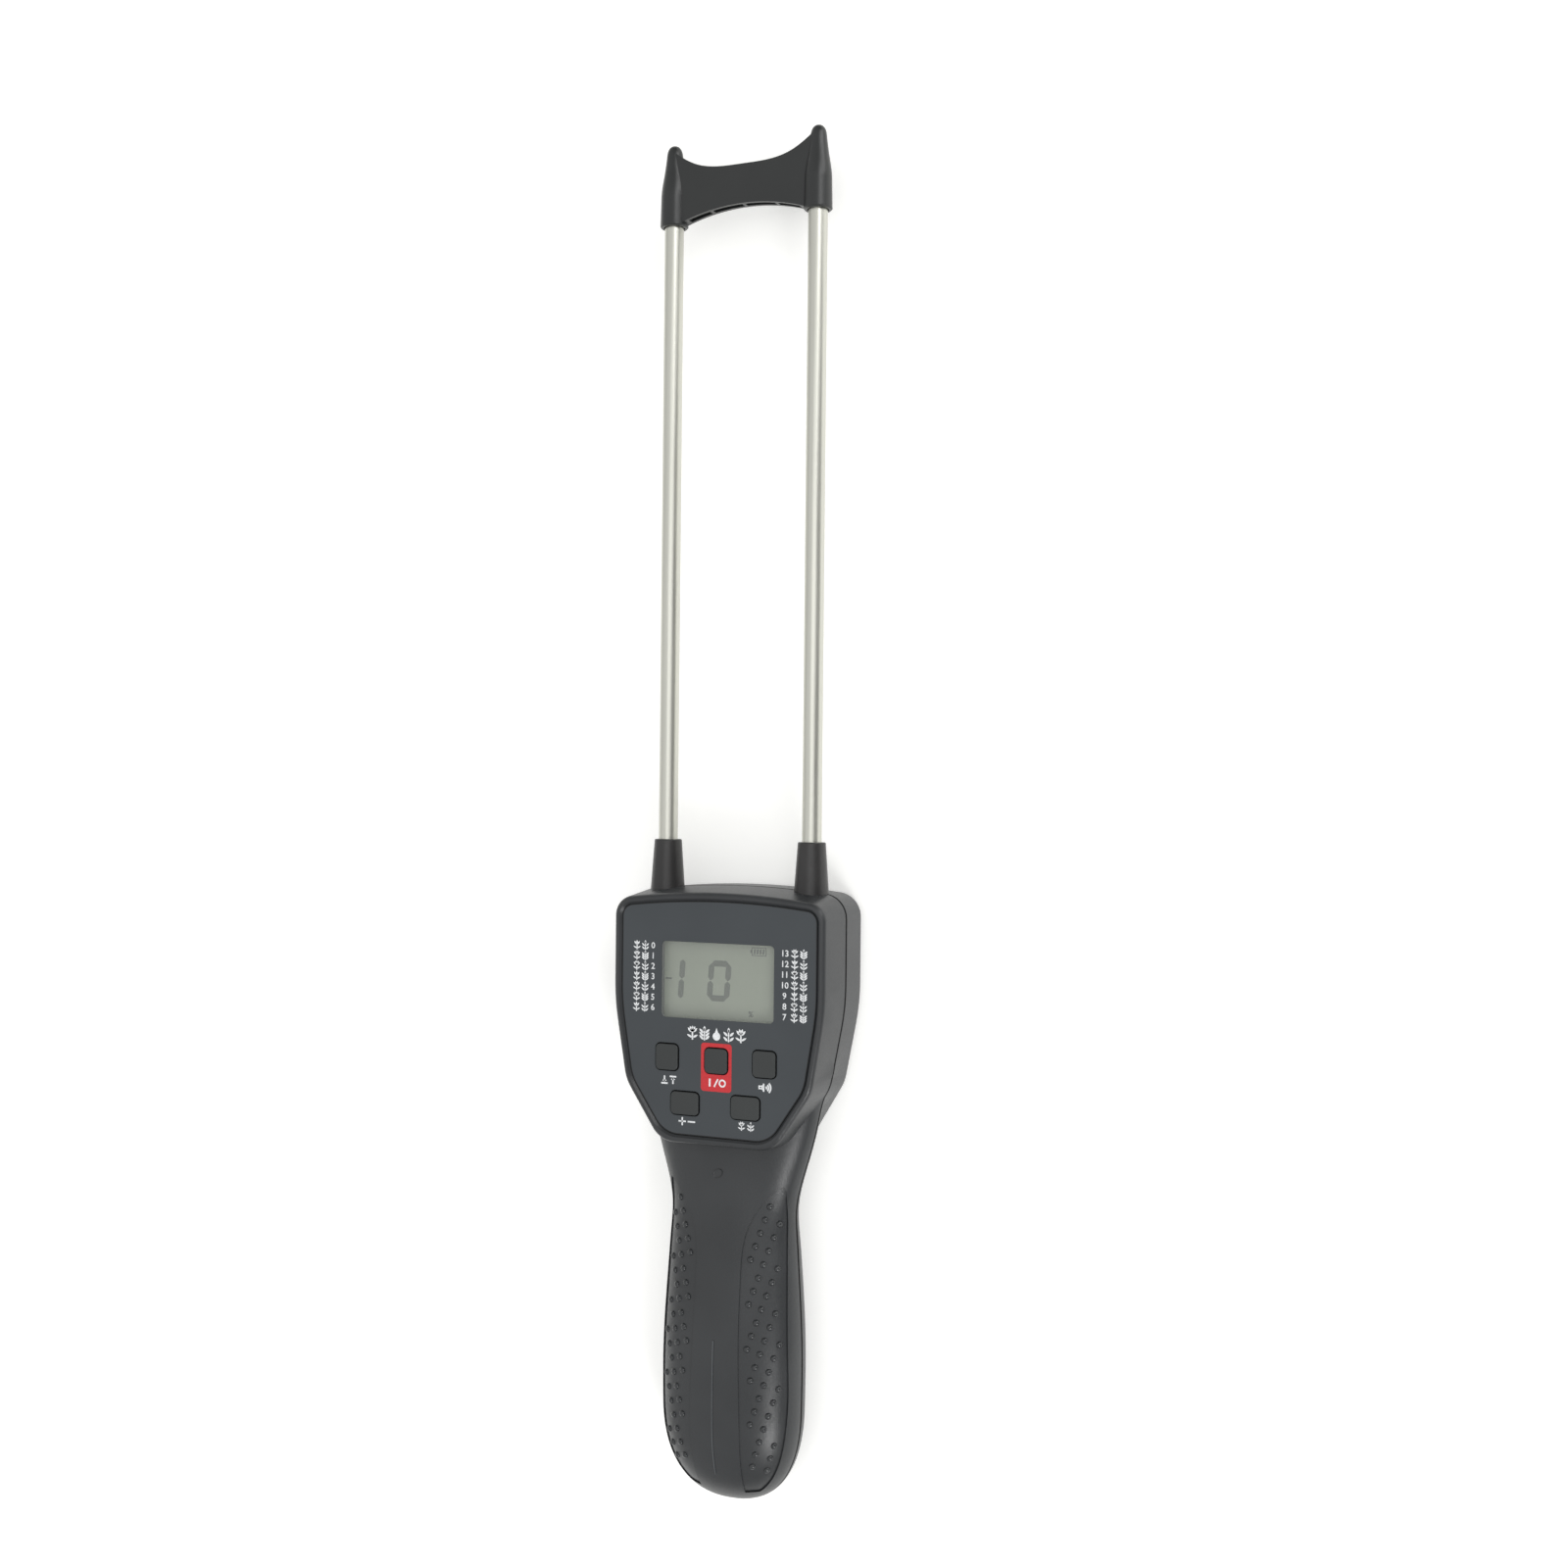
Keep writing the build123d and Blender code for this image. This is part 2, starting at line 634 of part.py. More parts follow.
def battery_springs():
    solids = []
    for x, z, facing in cell_places():
        rise = spring_length - 2 * spring_wire - 0.02
        path = Helix(pitch=rise / 3, height=rise, radius=spring_radius)
        wire = sweep(Plane(origin=path @ 0, z_dir=path % 0) * Circle(spring_wire), path)
        base = bay_middle_y - facing * (bay_half_length - spring_wire - 0.01)
        solids.append(Pos(x, base, z) * Rot(-90 * facing, 0, 0) * wire)
    return Part() + solids


def battery_contacts():
    solids = []
    for x, z, facing in cell_places():
        outer = bay_middle_y + facing * bay_half_length
        inner = outer - facing * contact_thickness
        solids.append(slab(x - contact_half, x + contact_half, min(outer, inner), max(outer, inner),
                           z - contact_half, z + contact_half))
    return Part() + solids


def battery_tray():
    """Open frame: two end plates, two cheeks, and a ledge along each side."""
    low, high = bay_middle_y - bay_half_length, bay_middle_y + bay_half_length
    half = tray_half_width
    outer = slab(-half, half, low - tray_wall, high + tray_wall, tray_low_z, tray_high_z)
    inner = tray_half_width - tray_wall
    tray = outer - slab(-inner, inner, low, high, 0, body_depth)
    for side in (-1, 1):
        near, far = sorted((side * (tray_half_width - 0.2), side * ledge_reach))
        tray += slab(near, far, ledge_y[0], ledge_y[1], tray_ledge_z, tray_ledge_z + 1.5)
    return tray


def save(name, shape):
    export_step(shape, "parts/" + name + ".step")


os.makedirs("parts", exist_ok=True)

body = casing_solid()
hollow = casing_hollow()
body = body - sunk_zones()

save("front_shell", front_shell(body, hollow))
save("rear_shell", rear_shell(body, hollow))
save("battery_door", battery_door(body, hollow))
save("panel_overlay", panel_overlay())
save("display_window", display_window())
save("lcd_glass", lcd_glass())
save("lcd_holder", lcd_holder())
save("lcd_connectors", lcd_connectors())
save("main_board", main_board())
save("controller_chip", controller_chip())
save("board_capacitors", board_capacitors())
save("tact_switches", tact_switches())
for name in keys:
    save(name, key_cap(name))
    save(name.replace("key", "plunger"), plunger(name))
save("speaker_frame", speaker_frame())
save("speaker_magnet", speaker_magnet())
save("speaker_cone", speaker_cone())
save("left_rod", rod(-rod_x))
save("right_rod", rod(rod_x))
save("left_collar", collar(-rod_x, body))
save("right_collar", collar(rod_x, body))
save("tip_cap", tip_cap())
save("rod_clamps", rod_clamps())
save("clamp_screws", clamp_screws())
save("rod_terminals", rod_terminals())
save("case_screws", case_screws())
save("board_screws", board_screws())
for number, (x, z, facing) in enumerate(cell_places(), 1):
    save("battery_" + str(number), battery(x, z, facing))
save("battery_springs", battery_springs())
save("battery_contacts", battery_contacts())
save("battery_tray", battery_tray())
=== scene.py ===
import json
import math
import bmesh
import bpy
from mathutils import Matrix, Vector

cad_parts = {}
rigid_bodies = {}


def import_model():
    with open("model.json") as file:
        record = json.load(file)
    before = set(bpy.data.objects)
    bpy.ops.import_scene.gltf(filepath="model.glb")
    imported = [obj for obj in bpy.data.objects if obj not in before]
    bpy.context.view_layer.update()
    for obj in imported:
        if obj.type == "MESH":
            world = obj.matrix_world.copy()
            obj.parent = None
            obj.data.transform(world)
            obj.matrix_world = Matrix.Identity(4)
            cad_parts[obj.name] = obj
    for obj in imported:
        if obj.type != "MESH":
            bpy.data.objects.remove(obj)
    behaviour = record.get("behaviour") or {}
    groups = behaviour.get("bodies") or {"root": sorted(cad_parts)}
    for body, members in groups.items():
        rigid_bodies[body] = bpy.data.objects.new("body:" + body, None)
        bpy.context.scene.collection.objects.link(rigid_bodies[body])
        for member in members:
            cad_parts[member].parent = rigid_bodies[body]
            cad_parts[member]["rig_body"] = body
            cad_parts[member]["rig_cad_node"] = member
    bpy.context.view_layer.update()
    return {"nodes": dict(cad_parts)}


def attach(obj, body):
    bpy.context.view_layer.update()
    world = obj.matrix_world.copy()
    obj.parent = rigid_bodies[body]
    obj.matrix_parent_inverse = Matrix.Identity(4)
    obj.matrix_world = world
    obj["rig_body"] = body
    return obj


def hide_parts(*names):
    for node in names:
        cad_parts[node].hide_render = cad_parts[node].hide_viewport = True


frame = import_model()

nodes = frame["nodes"]
mm = 0.001


# small tools

def linear(hexColour):
    # sRGB hex to the linear values that Blender's sockets take
    parts = [int(hexColour[i:i + 2], 16) / 255 for i in (1, 3, 5)]
    return tuple(c / 12.92 if c <= 0.04045 else ((c + 0.055) / 1.055) ** 2.4 for c in parts) + (1.0,)


def addNode(tree, kind, settings=None, links=None, **values):
    # settings are the node's own choices, values its sockets, links socket -> where it comes from
    node = tree.nodes.new(kind)
    for key, value in (settings or {}).items():
        setattr(node, key, value)
    for key, value in values.items():
        node.inputs[key.replace("_", " ")].default_value = value
    for key, source in (links or {}).items():
        tree.links.new(source, node.inputs[key])
    return node


def newMaterial(name):
    material = bpy.data.materials.new(name)
    material.use_nodes = True
    tree = material.node_tree
    return material, tree, tree.nodes["Principled BSDF"]


def dress(piece, material):
    piece.data.materials.clear()
    piece.data.materials.append(material)


def deselect():
    if bpy.context.object and bpy.context.object.mode != "OBJECT":
        bpy.ops.object.mode_set(mode="OBJECT")
    bpy.ops.object.select_all(action="DESELECT")


def makeActive(piece):
    deselect()
    piece.select_set(True)
    bpy.context.view_layer.objects.active = piece


def settle(piece):
    # put the piece's place, turn and scale into its mesh
    makeActive(piece)
    bpy.ops.object.transform_apply(location=True, rotation=True, scale=True)


def applyModifiers(piece):
    makeActive(piece)
    for modifier in list(piece.modifiers):
        bpy.ops.object.modifier_apply(modifier=modifier.name)


def smooth(piece, angle=35):
    makeActive(piece)
    bpy.ops.object.shade_smooth_by_angle(angle=math.radians(angle))


def joinAll(pieces, name):
    deselect()
    for piece in pieces:
        piece.select_set(True)
    bpy.context.view_layer.objects.active = pieces[0]
    if len(pieces) > 1:
        bpy.ops.object.join()
    pieces[0].name = name
    pieces[0].data.name = name
    return pieces[0]


def selectFaces(piece, wanted):
    # in edit mode: select the faces whose middle and direction are wanted
    bpy.ops.mesh.select_all(action="DESELECT")
    bpy.ops.mesh.select_mode(type="FACE")
    mesh = bmesh.from_edit_mesh(piece.data)
    for face in mesh.faces:
        face.select_set(wanted(face.calc_center_median(), face.normal))
    bmesh.update_edit_mesh(piece.data)


def selectPoints(piece, wanted):
    # in edit mode: select the points whose place is wanted
    bpy.ops.mesh.select_all(action="DESELECT")
    bpy.ops.mesh.select_mode(type="VERT")
    mesh = bmesh.from_edit_mesh(piece.data)
    for vertex in mesh.verts:
        vertex.select_set(wanted(vertex.co))
    bmesh.update_edit_mesh(piece.data)


def mergedCopy(nodeName, name, angle):
    # a welded copy of a CAD node that can be shaded smoothly
    piece = nodes[nodeName].copy()
    piece.data = nodes[nodeName].data.copy()
    piece.name = name
    piece.data.name = name
    piece.parent = None
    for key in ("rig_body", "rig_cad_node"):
        if key in piece:
            del piece[key]
    bpy.context.scene.collection.objects.link(piece)
    makeActive(piece)
    bpy.ops.object.mode_set(mode="EDIT")
    bpy.ops.mesh.select_all(action="SELECT")
    bpy.ops.mesh.customdata_custom_splitnormals_clear()
    bpy.ops.mesh.remove_doubles(threshold=0.000002)
    bpy.ops.object.mode_set(mode="OBJECT")
    smooth(piece, angle)
    return piece


# finishes

def mouldedAbs(name, colour, paler, roughness, grainMm=0.45, grainDepth=0.10, seamZ=None):
    # injection-moulded ABS with a spark-eroded texture: fine even pits that soften the sheen
    # the real grain is about 0.1 mm, too fine to show, so it is drawn at grainMm
    material, tree, shader = newMaterial(name)
    place = addNode(tree, "ShaderNodeTexCoord").outputs["Object"]
    grain = addNode(tree, "ShaderNodeTexNoise", Scale=1 / (grainMm * mm), Detail=3.0, Roughness=0.6,
                    links={"Vector": place})
    # the resin's flow leaves broad, hardly visible patches about 24 mm across
    flow = addNode(tree, "ShaderNodeTexNoise", Scale=1 / (24 * mm), Detail=2.0, Roughness=0.5,
                   links={"Vector": place})
    tint = addNode(tree, "ShaderNodeValToRGB", links={"Fac": flow.outputs["Fac"]})
    tint.color_ramp.elements[0].position = 0.35
    tint.color_ramp.elements[0].color = linear(colour)
    tint.color_ramp.elements[1].position = 0.7
    tint.color_ramp.elements[1].color = linear(paler)
    sheen = addNode(tree, "ShaderNodeMapRange", From_Min=0.3, From_Max=0.7, To_Min=roughness - 0.04,
                    To_Max=roughness + 0.05, links={"Value": grain.outputs["Fac"]})
    bump = addNode(tree, "ShaderNodeBump", Strength=0.35, Distance=grainDepth * mm,
                   links={"Height": grain.outputs["Fac"]})
    hue, gloss = tint.outputs["Color"], sheen.outputs["Result"]
    if seamZ:
        # painted shade: along the line where the two shells meet the colour goes near black and the roughness
        # goes to 1, standing in for the shade in the gap
        level = addNode(tree, "ShaderNodeSeparateXYZ", links={"Vector": place}).outputs["Z"]
        away = addNode(tree, "ShaderNodeMath", {"operation": "SUBTRACT"}, {0: level})
        away.inputs[1].default_value = seamZ * mm
        gap = addNode(tree, "ShaderNodeMath", {"operation": "ABSOLUTE"}, {0: away.outputs["Value"]})
        unshaded = addNode(tree, "ShaderNodeMapRange", {"interpolation_type": "SMOOTHSTEP"},
                        {"Value": gap.outputs["Value"]}, From_Min=0.42 * mm, From_Max=0.68 * mm)
        shade = addNode(tree, "ShaderNodeMix", {"data_type": "RGBA"}, {0: unshaded.outputs["Result"], 7: hue})
        shade.inputs[6].default_value = linear("#050506")
        hue = shade.outputs[2]
        dull = addNode(tree, "ShaderNodeMix", {"data_type": "FLOAT"}, {0: unshaded.outputs["Result"], 3: gloss})
        dull.inputs[2].default_value = 1.0
        gloss = dull.outputs[0]
    tree.links.new(hue, shader.inputs["Base Color"])
    tree.links.new(gloss, shader.inputs["Roughness"])
    tree.links.new(bump.outputs["Normal"], shader.inputs["Normal"])
    shader.inputs["IOR"].default_value = 1.52
    return material


def groundStainless(name, colour, darker, roughness):
    # centreless-ground stainless bar: faint rings round the rod and long draw lines
    material, tree, shader = newMaterial(name)
    place = addNode(tree, "ShaderNodeTexCoord").outputs["Object"]
    rings = addNode(tree, "ShaderNodeMapping", links={"Vector": place}, Scale=(0.15, 1.0, 0.15))
    ringNoise = addNode(tree, "ShaderNodeTexNoise", Scale=1 / (0.5 * mm), Detail=2.0,
                        links={"Vector": rings.outputs["Vector"]})
    lines = addNode(tree, "ShaderNodeMapping", links={"Vector": place}, Scale=(1.0, 0.01, 1.0))
    lineNoise = addNode(tree, "ShaderNodeTexNoise", Scale=1 / (0.4 * mm), Detail=3.0,
                        links={"Vector": lines.outputs["Vector"]})
    tint = addNode(tree, "ShaderNodeValToRGB", links={"Fac": lineNoise.outputs["Fac"]})
    tint.color_ramp.elements[0].position = 0.3
    tint.color_ramp.elements[0].color = linear(darker)
    tint.color_ramp.elements[1].position = 0.65
    tint.color_ramp.elements[1].color = linear(colour)
    rough = addNode(tree, "ShaderNodeMapRange", From_Min=0.3, From_Max=0.7, To_Min=roughness - 0.03,
                    To_Max=roughness + 0.03, links={"Value": lineNoise.outputs["Fac"]})
    bump = addNode(tree, "ShaderNodeBump", Strength=0.05, Distance=0.005 * mm,
                   links={"Height": ringNoise.outputs["Fac"]})
    tree.links.new(tint.outputs["Color"], shader.inputs["Base Color"])
    tree.links.new(rough.outputs["Result"], shader.inputs["Roughness"])
    tree.links.new(bump.outputs["Normal"], shader.inputs["Normal"])
    shader.inputs["Metallic"].default_value = 1.0
    return material


def platedMetal(name, colour, darker, roughness):
    # zinc or nickel plate: small bright crystals under a soft sheen
    material, tree, shader = newMaterial(name)
    place = addNode(tree, "ShaderNodeTexCoord").outputs["Object"]
    crystals = addNode(tree, "ShaderNodeTexNoise", Scale=1 / (0.8 * mm), Detail=3.0, links={"Vector": place})
    tint = addNode(tree, "ShaderNodeValToRGB", links={"Fac": crystals.outputs["Fac"]})
    tint.color_ramp.elements[0].color = linear(darker)
    tint.color_ramp.elements[1].color = linear(colour)
    bump = addNode(tree, "ShaderNodeBump", Strength=0.15, Distance=0.02 * mm,
                   links={"Height": crystals.outputs["Fac"]})
    tree.links.new(tint.outputs["Color"], shader.inputs["Base Color"])
    tree.links.new(bump.outputs["Normal"], shader.inputs["Normal"])
    shader.inputs["Metallic"].default_value = 1.0
    shader.inputs["Roughness"].default_value = roughness
    return material


def flatInk(name, colour, worn, roughness=0.5):
    # silk-screened ink: a thin opaque film with slightly uneven cover
    material, tree, shader = newMaterial(name)
    place = addNode(tree, "ShaderNodeTexCoord").outputs["Object"]
    cover = addNode(tree, "ShaderNodeTexNoise", Scale=1 / (0.7 * mm), Detail=2.0, links={"Vector": place})
    tint = addNode(tree, "ShaderNodeValToRGB", links={"Fac": cover.outputs["Fac"]})
    tint.color_ramp.elements[0].position = 0.3
    tint.color_ramp.elements[0].color = linear(worn)
    tint.color_ramp.elements[1].position = 0.55
    tint.color_ramp.elements[1].color = linear(colour)
    bump = addNode(tree, "ShaderNodeBump", Strength=0.1, Distance=0.01 * mm,
                   links={"Height": cover.outputs["Fac"]})
    tree.links.new(tint.outputs["Color"], shader.inputs["Base Color"])
    tree.links.new(bump.outputs["Normal"], shader.inputs["Normal"])
    shader.inputs["Roughness"].default_value = roughness
    return material


def clearAcrylic(name):
    # cast acrylic window: almost invisible, seen by its reflection
    material, tree, shader = newMaterial(name)
    place = addNode(tree, "ShaderNodeTexCoord").outputs["Object"]
    haze = addNode(tree, "ShaderNodeTexNoise", Scale=1 / (6 * mm), Detail=2.0, links={"Vector": place})
    clear = addNode(tree, "ShaderNodeMapRange", From_Min=0.3, From_Max=0.7, To_Min=0.03, To_Max=0.06,
                    links={"Value": haze.outputs["Fac"]})
    tree.links.new(clear.outputs["Result"], shader.inputs["Roughness"])
    shader.inputs["Base Color"].default_value = linear("#e6ebe6")
    shader.inputs["IOR"].default_value = 1.49
    shader.inputs["Alpha"].default_value = 0.10
    return material


# outside: charcoal shells with a soft sheen, smoother nubs, and a mould line painted paler as a highlight
# the shells get painted shade along their seam, at seamZ
shellAbs = mouldedAbs("spark textured ABS", "#292b2d", "#303234", 0.37, seamZ=15.0)
gripAbs = mouldedAbs("grip nub ABS", "#2b2d2f", "#313335", 0.22, grainMm=0.6, grainDepth=0.02)
flashHighlightAbs = mouldedAbs("mould flash painted highlight", "#4a4d50", "#55585b", 0.35, grainMm=0.6, grainDepth=0.02)
# duller keys with painted shade on their sides, near-black nylon at the probes and a flat slate faceplate
keyAbs = mouldedAbs("key cap ABS", "#2a2d2d", "#303333", 0.46, grainMm=0.4)
keySkirtShade = mouldedAbs("key skirt painted shade", "#0c0d0e", "#121314", 0.6, grainMm=0.4)
capNylon = mouldedAbs("glass filled nylon", "#202222", "#262828", 0.33, grainMm=0.7, grainDepth=0.05)
collarNylon = mouldedAbs("collar nylon", "#242323", "#2a2929", 0.36, grainMm=0.6, grainDepth=0.05)
faceplate = mouldedAbs("printed polycarbonate", "#353a3e", "#393e42", 0.40, grainMm=0.35, grainDepth=0.03)
blackAbs = mouldedAbs("black ABS", "#17181a", "#1d1e20", 0.5)
# metals: warm grey rods with long draw lines, and bright small hardware
steelRod = groundStainless("ground stainless steel", "#d0d0c7", "#c8c8bf", 0.35)
zincSteel = platedMetal("zinc plated steel", "#c3c5c8", "#9b9da0", 0.32)
nickelPlate = platedMetal("nickel plated spring steel", "#d6d3ca", "#b4b1a8", 0.25)
tinnedBrass = platedMetal("tinned brass", "#cbb479", "#a98f57", 0.3)
# inks, and the grey-green display with its darker figures
whiteInk = flatInk("white silkscreen ink", "#eceeef", "#d4d7d9")
redInk = flatInk("red silkscreen ink", "#c8282f", "#bc242b", 0.42)
# a near-black film that paints the shade in the gap round the faceplate
gapShadeInk = flatInk("painted gap shade", "#0b0c0d", "#121315", 0.6)
lcdDark = flatInk("liquid crystal segments", "#3a4037", "#40463d", 0.35)
lcdFaint = flatInk("liquid crystal icons", "#373d35", "#40463e", 0.35)
lcdCell = mouldedAbs("reflective lcd cell", "#798071", "#808778", 0.3, grainMm=0.5, grainDepth=0.01)
# inside the case
boardGreen = mouldedAbs("solder mask on glass epoxy", "#1d5c33", "#236a3c", 0.35, grainMm=0.5)
plungerPlastic = mouldedAbs("acetal plunger", "#c9c9c4", "#d3d3ce", 0.45)
cellWrap = mouldedAbs("printed cell wrap", "#3a3d42", "#43464c", 0.3, grainMm=1.0)
stripRubber = mouldedAbs("silicone contact strip", "#8d5a70", "#99657b", 0.6)
sleeve = mouldedAbs("capacitor sleeve", "#20222e", "#282a38", 0.3)
acrylic = clearAcrylic("cast acrylic")
print("finishes ready")


# casing

casing = {
    "shadeAngle": 32,         # degrees: sharper edges stay crisp
}

frontShell = mergedCopy("front_shell", "frontShell", casing["shadeAngle"])
dress(frontShell, shellAbs)
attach(frontShell, "casing")
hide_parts("front_shell")

rearShell = mergedCopy("rear_shell", "rearShell", casing["shadeAngle"])
dress(rearShell, shellAbs)
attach(rearShell, "casing")
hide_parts("rear_shell")

batteryDoor = mergedCopy("battery_door", "batteryDoor", casing["shadeAngle"])
dress(batteryDoor, shellAbs)
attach(batteryDoor, "door")
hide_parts("battery_door")

# nubs of the grip, in mm
grip = {
    "radius": 1.02,
    "height": 0.72,
    "sunk": 0.12,             # how far a nub reaches into the shell
    "columns": 8,
    "rows": 7,
    "longRows": 3,            # rows that start at the first column, the others start at the next
    "columnStep": (1.25, 3.95),
    "rowStep": -13.2,
    "first": (10.1, -133.2),
    "innerMargin": 1.4,       # from the edges of the sunk zone
    "outerMargin": 1.9,
    # y, inner edge and outer edge of the sunk zone
    "zone": [(-204.6, 7.4, 11.6), (-199.8, 7.6, 16.0), (-191.5, 8.0, 19.4),
             (-180, 8.1, 21.0), (-160, 7.6, 20.9), (-138, 7.4, 20.1),
             (-125.5, 8.6, 19.8), (-117.4, 12.6, 19.5), (-111.5, 19.0, 19.3)],
}


def zoneEdges(y):
    for low, high in zip(grip["zone"], grip["zone"][1:]):
        if low[0] <= y <= high[0]:
            share = (y - low[0]) / (high[0] - low[0])
            return low[1] + share * (high[1] - low[1]), low[2] + share * (high[2] - low[2])
    return 0, 0


def onFront(x, y):
    # point and outward direction on the front shell, straight below (x, y)
    above = Vector((x * mm, y * mm, 0.06))
    found, point, normal, _ = frontShell.ray_cast(above, Vector((0, 0, -1)))
    return (point, normal) if found else (None, None)


def makeNub():
    deselect()
    flatness = grip["height"] / grip["radius"]
    bpy.ops.mesh.primitive_uv_sphere_add(segments=16, ring_count=10, radius=grip["radius"] * mm,
                                         scale=(1, 1, flatness))
    nub = bpy.context.object
    settle(nub)
    bpy.ops.object.mode_set(mode="EDIT")
    bpy.ops.mesh.select_all(action="SELECT")
    bpy.ops.mesh.bisect(plane_co=(0, 0, -grip["sunk"] * mm), plane_no=(0, 0, 1), clear_inner=True,
                        use_fill=True)
    bpy.ops.object.mode_set(mode="OBJECT")
    smooth(nub, 50)
    return nub


def makeGripNubs(side, name):
    pattern = makeNub()
    nubs = []
    for row in range(grip["rows"]):
        for column in range(0 if row < grip["longRows"] else 1, grip["columns"]):
            x = grip["first"][0] + grip["columnStep"][0] * column
            y = grip["first"][1] + grip["rowStep"] * row + grip["columnStep"][1] * column
            inner, outer = zoneEdges(y)
            if not inner + grip["innerMargin"] < x < outer - grip["outerMargin"]:
                continue
            point, normal = onFront(side * x, y)
            if point is None:
                continue
            nub = pattern.copy()
            nub.data = pattern.data.copy()
            bpy.context.scene.collection.objects.link(nub)
            turn = normal.to_track_quat("Z", "Y").to_matrix().to_4x4()
            nub.matrix_world = Matrix.Translation(point) @ turn
            nubs.append(nub)
    bpy.data.objects.remove(pattern)
    for nub in nubs:
        settle(nub)
    piece = joinAll(nubs, name)
    dress(piece, gripAbs)
    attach(piece, "casing")
    return piece


makeGripNubs(1, "gripNubsRight")
makeGripNubs(-1, "gripNubsLeft")
print("casing ready")


# mould line down the middle of the handle, and the mark that the gate left on the neck
mouldMarks = {
    "lineX": -0.35,
    "lineFrom": -199.0,
    "lineTo": -158.0,
    "lineWidth": 0.28,
    "lineHeight": 0.24,
    "lineCuts": 30,           # so that it follows the curve of the handle
    "gatePlace": (-0.8, -108.2),
    "gateSize": (2.3, 3.2),
    "gateHeight": 0.28,
    "gateRim": 0.28,
    "gateSunk": 0.6,          # share of the height that the middle is sunk
}


def makeMouldLine():
    deselect()
    length = mouldMarks["lineTo"] - mouldMarks["lineFrom"]
    middle = (mouldMarks["lineX"] * mm, (mouldMarks["lineFrom"] + length / 2) * mm, 0.04)
    bpy.ops.mesh.primitive_plane_add(size=mm, location=middle)
    line = bpy.context.object
    line.name = line.data.name = "mouldLine"
    line.scale = (mouldMarks["lineWidth"], length, 1)
    settle(line)
    bpy.ops.object.mode_set(mode="EDIT")
    bpy.ops.mesh.select_all(action="SELECT")
    bpy.ops.mesh.subdivide(number_cuts=mouldMarks["lineCuts"])
    bpy.ops.object.mode_set(mode="OBJECT")
    wrap = line.modifiers.new("onto the shell", "SHRINKWRAP")
    wrap.target = frontShell
    wrap.wrap_method = "PROJECT"
    wrap.use_project_z = True
    wrap.use_positive_direction = False
    wrap.use_negative_direction = True
    thick = line.modifiers.new("height", "SOLIDIFY")
    thick.thickness = mouldMarks["lineHeight"] * mm
    thick.offset = 1
    applyModifiers(line)
    smooth(line, 40)
    # the ridge is painted paler than the shell: a painted highlight
    dress(line, flashHighlightAbs)
    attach(line, "casing")


def makeGateMark():
    deselect()
    point, normal = onFront(*mouldMarks["gatePlace"])
    height = mouldMarks["gateHeight"] * mm
    bpy.ops.mesh.primitive_cylinder_add(vertices=32, radius=0.5 * mm, depth=2 * height)
    mark = bpy.context.object
    mark.name = mark.data.name = "gateMark"
    mark.scale = mouldMarks["gateSize"] + (1,)
    settle(mark)
    bpy.ops.object.mode_set(mode="EDIT")
    selectFaces(mark, lambda centre, facing: facing.z > 0.9)
    bpy.ops.mesh.inset(thickness=mouldMarks["gateRim"] * mm)
    bpy.ops.transform.translate(value=(0, 0, -mouldMarks["gateSunk"] * height))
    bpy.ops.object.mode_set(mode="OBJECT")
    mark.matrix_world = Matrix.Translation(point) @ normal.to_track_quat("Z", "Y").to_matrix().to_4x4()
    settle(mark)
    smooth(mark, 40)
    dress(mark, shellAbs)
    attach(mark, "casing")


makeMouldLine()
makeGateMark()
print("mould marks ready")


# key caps

keyCaps = {
    "skirtFacing": 0.55,     # faces that look up less than this belong to the skirt
}

for key in ("power", "limit", "voice", "adjust", "crop"):
    cap = mergedCopy("key_" + key, "keyCap" + key.capitalize(), 40)
    dress(cap, keyAbs)
    # the cap's sides get a near-black copy of the key finish: painted shade
    cap.data.materials.append(keySkirtShade)
    bpy.ops.object.mode_set(mode="EDIT")
    selectFaces(cap, lambda centre, facing: facing.z < keyCaps["skirtFacing"])
    cap.active_material_index = 1
    bpy.ops.object.material_slot_assign()
    bpy.ops.object.mode_set(mode="OBJECT")
    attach(cap, "button_" + key)
    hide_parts("key_" + key)
print("keys ready")


# ink

def topOf(nodeName):
    piece = nodes[nodeName]
    return max((piece.matrix_world @ vertex.co).z for vertex in piece.data.vertices) / mm


def middleOf(nodeName):
    piece = nodes[nodeName]
    places = [piece.matrix_world @ vertex.co for vertex in piece.data.vertices]
    return [(min(p[i] for p in places) + max(p[i] for p in places)) / 2 / mm for i in (0, 1)]


def topSizeOf(nodeName):
    # width and height of the node just under its top
    piece = nodes[nodeName]
    top = topOf(nodeName)
    places = [piece.matrix_world @ vertex.co for vertex in piece.data.vertices]
    high = [p for p in places if p.z / mm > top - 0.5]
    return [(max(p[i] for p in high) - min(p[i] for p in high)) / mm for i in (0, 1)]


def raiseInk(piece, z, film):
    # lift a flat shape to z and give it the thickness of its film
    makeActive(piece)
    bpy.ops.object.mode_set(mode="EDIT")
    bpy.ops.mesh.select_all(action="SELECT")
    bpy.ops.mesh.extrude_region_move(TRANSFORM_OT_translate={"value": (0, 0, film * mm)})
    bpy.ops.mesh.select_all(action="SELECT")
    bpy.ops.mesh.normals_make_consistent(inside=False)
    bpy.ops.transform.translate(value=(0, 0, z * mm))
    bpy.ops.object.mode_set(mode="OBJECT")
    return piece


